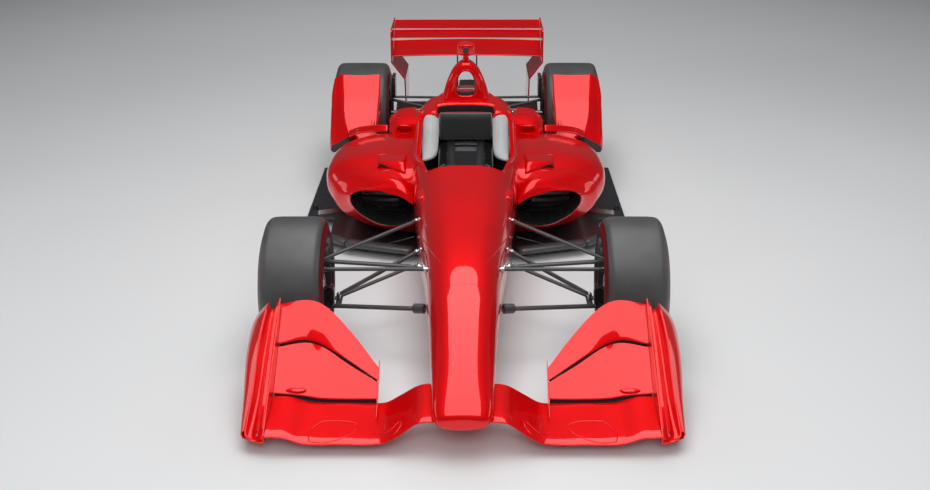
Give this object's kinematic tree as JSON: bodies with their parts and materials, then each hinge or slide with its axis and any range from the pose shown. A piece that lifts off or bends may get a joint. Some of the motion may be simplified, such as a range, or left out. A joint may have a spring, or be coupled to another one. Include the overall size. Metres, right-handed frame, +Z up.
{
  "type": "open wheel racing car",
  "caption": "Open wheel single-seat racing car with front and rear wings, sidepods, rolling wheels and working steering.",
  "frame": {"origin": "on the ground, under the middle of the car's bounding box", "axes": "+Y towards the rear of the car, which faces -Y; +X towards the car's left side; +Z up"},
  "size_m": [1.97, 5.12, 1.1],
  "materials": {
    "red": "deep gloss red paint under clear coat",
    "carbon": "black carbon composite, satin lacquer",
    "metal": "machined and bead-blasted metal",
    "rim": "dark satin painted magnesium",
    "tyre": "slick racing rubber",
    "padding": "grey foam padding under a smooth cover",
    "alloy": "cast and machined alloy",
    "black_plastic": "black moulded plastic"
  },
  "bodies": {
    "chassis": {"tub": "red", "nose_cone": "red", "front_wing_main": "red", "front_flaps_left": "red", "front_flaps_right": "red", "front_endplate_left": "red", "front_endplate_right": "red", "sidepod_left": "red", "sidepod_right": "red", "radiator_left": "alloy", "radiator_right": "alloy", "engine_cover": "red", "roll_hoop": "red", "camera_pod": "red", "floor": "carbon", "diffuser": "carbon", "wheel_ramp_left": "red", "wheel_ramp_right": "red", "headrest": "padding", "seat": "carbon", "dashboard": "carbon", "front_suspension_left": "carbon", "front_suspension_right": "carbon", "rear_suspension_left": "carbon", "rear_suspension_right": "carbon", "rear_upright_left": "alloy", "rear_upright_right": "alloy", "engine": "alloy", "gearbox": "alloy", "rear_attenuator": "carbon", "rear_wing_main": "red", "rear_wing_flaps": "red", "rear_endplate_left": "red", "rear_endplate_right": "red", "rear_wing_pylons": "carbon"},
    "knuckle_left": {"front_knuckle_left": "alloy", "front_brake_duct_left": "carbon"},
    "front_wheel_left": {"front_tyre_left": "tyre", "front_rim_left": "rim"},
    "rear_wheel_left": {"rear_tyre_left": "tyre", "rear_rim_left": "rim", "driveshaft_left": "metal"},
    "knuckle_right": {"front_knuckle_right": "alloy", "front_brake_duct_right": "carbon"},
    "front_wheel_right": {"front_tyre_right": "tyre", "front_rim_right": "rim"},
    "rear_wheel_right": {"rear_tyre_right": "tyre", "rear_rim_right": "rim", "driveshaft_right": "metal"},
    "rack": {"steering_rack": "metal"},
    "helm": {"steering_wheel": "black_plastic"}
  },
  "joints": [
    {"name": "steer_left", "type": "hinge", "parent": "chassis", "child": "knuckle_left", "pos_m": [0.712, -1.485, 0.22], "axis": [-0.0528, 0.0968, 0.9939], "range_deg": [-18, 18]},
    {"name": "steer_right", "type": "hinge", "parent": "chassis", "child": "knuckle_right", "pos_m": [-0.712, -1.485, 0.22], "axis": [0.0528, 0.0968, 0.9939], "range_deg": [-18, 18]},
    {"name": "rack_slide", "type": "slide", "parent": "chassis", "child": "rack", "axis": [1, 0, 0], "range_m": [-0.02832, 0.02832]},
    {"name": "helm_turn", "type": "hinge", "parent": "chassis", "child": "helm", "pos_m": [0, -0.445, 0.54], "axis": [0, 0.9781, 0.2079], "range_deg": [-126.1, 126.1]},
    {"name": "front_roll_left", "type": "hinge", "parent": "knuckle_left", "child": "front_wheel_left", "pos_m": [0.807, -1.475, 0.328], "axis": [1, 0, 0], "continuous": true},
    {"name": "front_roll_right", "type": "hinge", "parent": "knuckle_right", "child": "front_wheel_right", "pos_m": [-0.807, -1.475, 0.328], "axis": [1, 0, 0], "continuous": true},
    {"name": "rear_roll_left", "type": "hinge", "parent": "chassis", "child": "rear_wheel_left", "pos_m": [0.731, 1.575, 0.352], "axis": [1, 0, 0], "continuous": true},
    {"name": "rear_roll_right", "type": "hinge", "parent": "chassis", "child": "rear_wheel_right", "pos_m": [-0.731, 1.575, 0.352], "axis": [1, 0, 0], "continuous": true}
  ],
  "couplings": [
    {"joint": "steer_right", "follows": "steer_left", "ratio": 1},
    {"joint": "rack_slide", "follows": "steer_left", "m_per_rad": 0.09},
    {"joint": "helm_turn", "follows": "steer_left", "ratio": 7}
  ]
}
